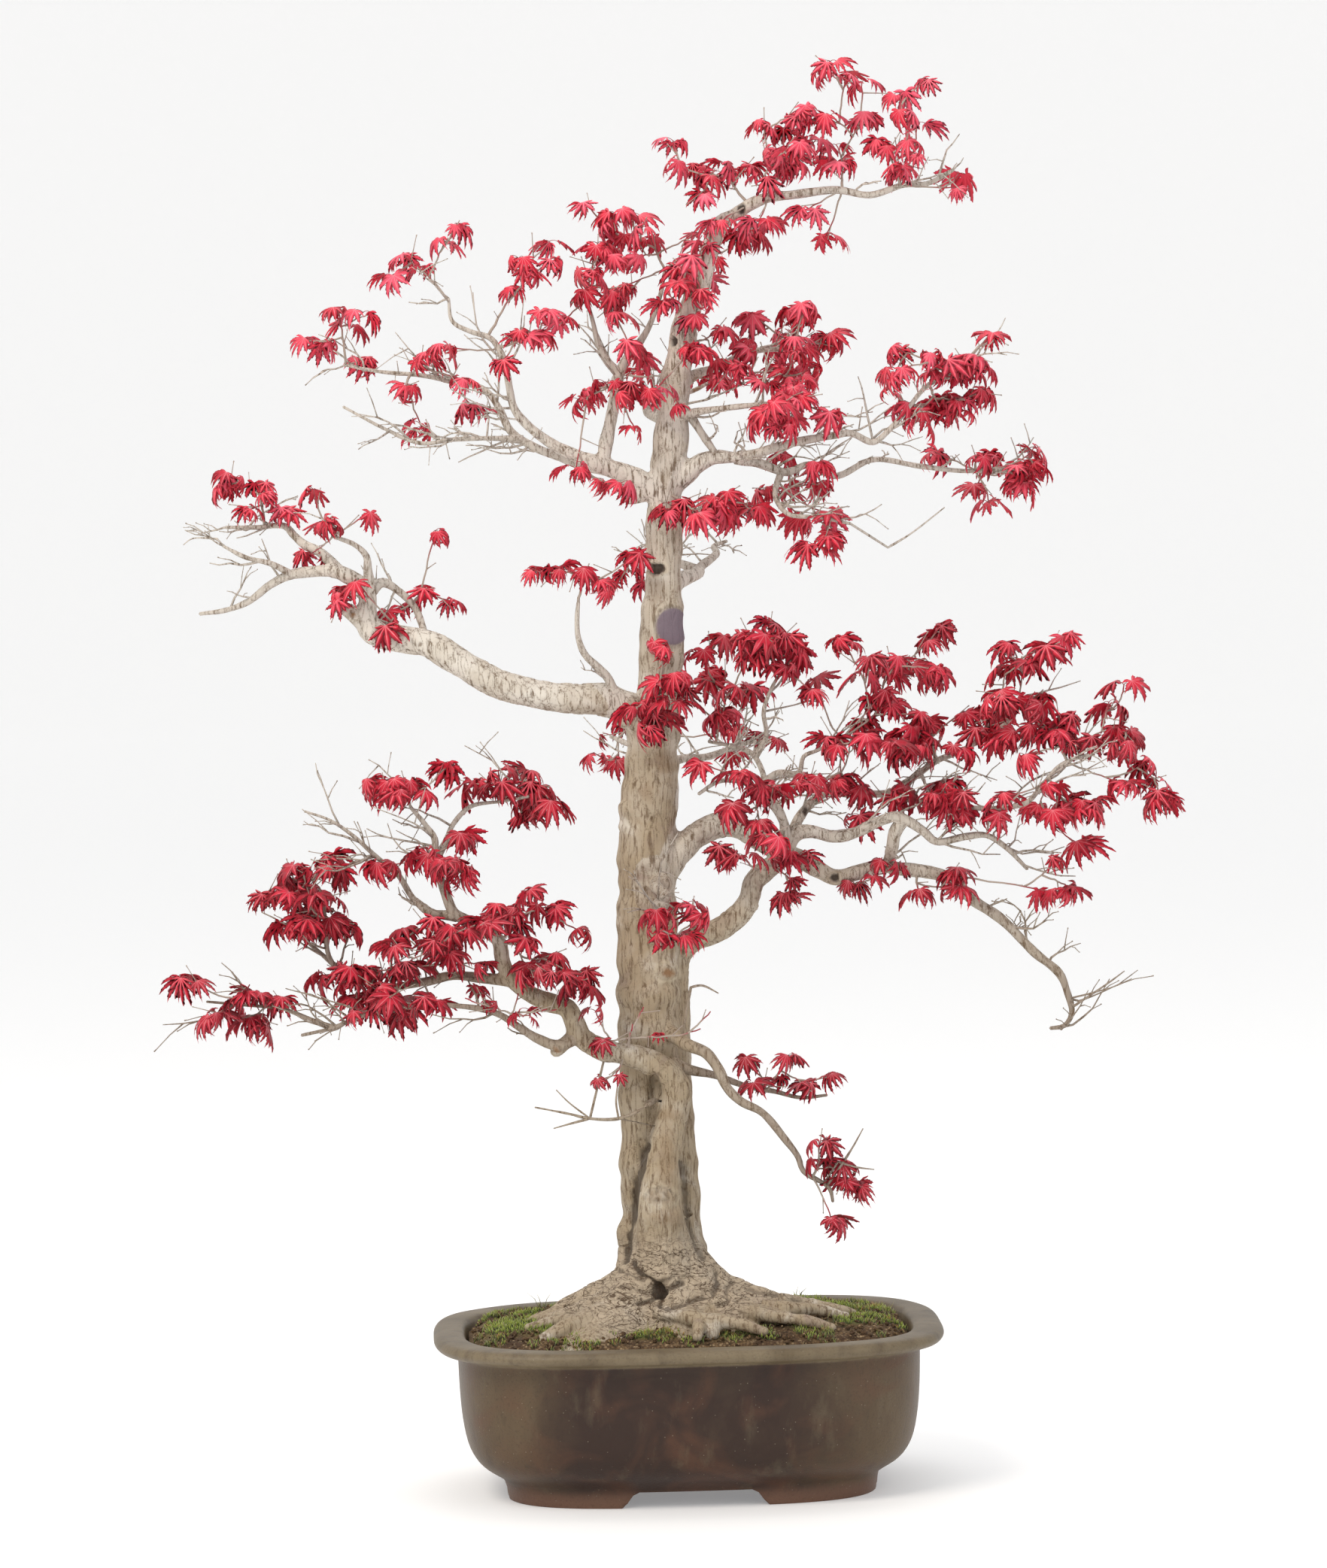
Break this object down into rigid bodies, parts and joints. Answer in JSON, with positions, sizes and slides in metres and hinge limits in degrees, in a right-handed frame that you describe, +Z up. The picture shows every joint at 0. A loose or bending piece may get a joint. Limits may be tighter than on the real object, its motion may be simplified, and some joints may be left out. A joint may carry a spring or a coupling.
{
  "type": "japanese maple bonsai in a pot",
  "caption": "Tall upright deshojo Japanese maple bonsai with red spring leaves, in a soft rectangular unglazed stoneware pot on low feet.",
  "frame": {"origin": "centre of the bounding box in plan, on the ground under the pot's feet", "axes": "+Z up the tree, +X to the right as seen from the front, +Y to the back"},
  "size_m": [0.8194, 0.3488, 1.1293],
  "materials": {
    "stoneware": "fired unglazed stoneware, taupe rim and reddish brown body, dry satin; matte_plastic stands in for fired clay",
    "screen_mesh": "plain dark plastic mesh",
    "bonsai_soil": "moist dark brown granular soil with moss; matte_plastic stands in for earth",
    "maple_bark": "pale tan and grey maple bark, fissured at the foot, matte",
    "spring_leaf": "thin crimson spring leaves on fine grey brown twigs, soft sheen; fabric stands in for leaf"
  },
  "bodies": {
    "root": {"pot": "stoneware", "drain_screen_left": "screen_mesh", "drain_screen_right": "screen_mesh", "soil": "bonsai_soil", "trunk_and_limbs": "maple_bark", "spray_apex_crown": "spring_leaf", "spray_apex_inner": "spring_leaf", "spray_apex_left": "spring_leaf", "spray_apex_right": "spring_leaf", "spray_back_high": "spring_leaf", "spray_back_low": "spring_leaf", "spray_back_mid": "spring_leaf", "spray_crown_front": "spring_leaf", "spray_crown_left": "spring_leaf", "spray_crown_left_low": "spring_leaf", "spray_front_right": "spring_leaf", "spray_front_right_low": "spring_leaf", "spray_heart_far": "spring_leaf", "spray_heart_far_high": "spring_leaf", "spray_heart_far_low": "spring_leaf", "spray_heart_front": "spring_leaf", "spray_heart_high": "spring_leaf", "spray_heart_mid": "spring_leaf", "spray_heart_right": "spring_leaf", "spray_heart_right_high": "spring_leaf", "spray_heart_trunk_front": "spring_leaf", "spray_left_far": "spring_leaf", "spray_left_high_inner": "spring_leaf", "spray_left_high_outer": "spring_leaf", "spray_left_low": "spring_leaf", "spray_left_mid": "spring_leaf", "spray_low_left_base": "spring_leaf", "spray_low_left_crown": "spring_leaf", "spray_low_left_crown_right": "spring_leaf", "spray_low_left_far": "spring_leaf", "spray_low_left_heart": "spring_leaf", "spray_low_left_heart_low": "spring_leaf", "spray_low_left_mid": "spring_leaf", "spray_low_left_shelf": "spring_leaf", "spray_low_left_tips": "spring_leaf", "spray_low_left_under": "spring_leaf", "spray_low_right_front": "spring_leaf", "spray_low_right_shelf": "spring_leaf", "spray_mid_left_inner": "spring_leaf", "spray_mid_left_loop": "spring_leaf", "spray_mid_left_outer": "spring_leaf", "spray_right_far_high": "spring_leaf", "spray_right_far_low": "spring_leaf", "spray_right_high": "spring_leaf", "spray_right_high_front": "spring_leaf", "spray_right_low": "spring_leaf", "spray_right_mid_front": "spring_leaf", "spray_right_shelf": "spring_leaf", "spray_small_pad": "spring_leaf", "spray_trunk_foot": "spring_leaf", "spray_trunk_front_high": "spring_leaf", "spray_trunk_mid_front": "spring_leaf", "spray_trunk_right": "spring_leaf", "spray_upright_low": "spring_leaf"}
  },
  "joints": []
}
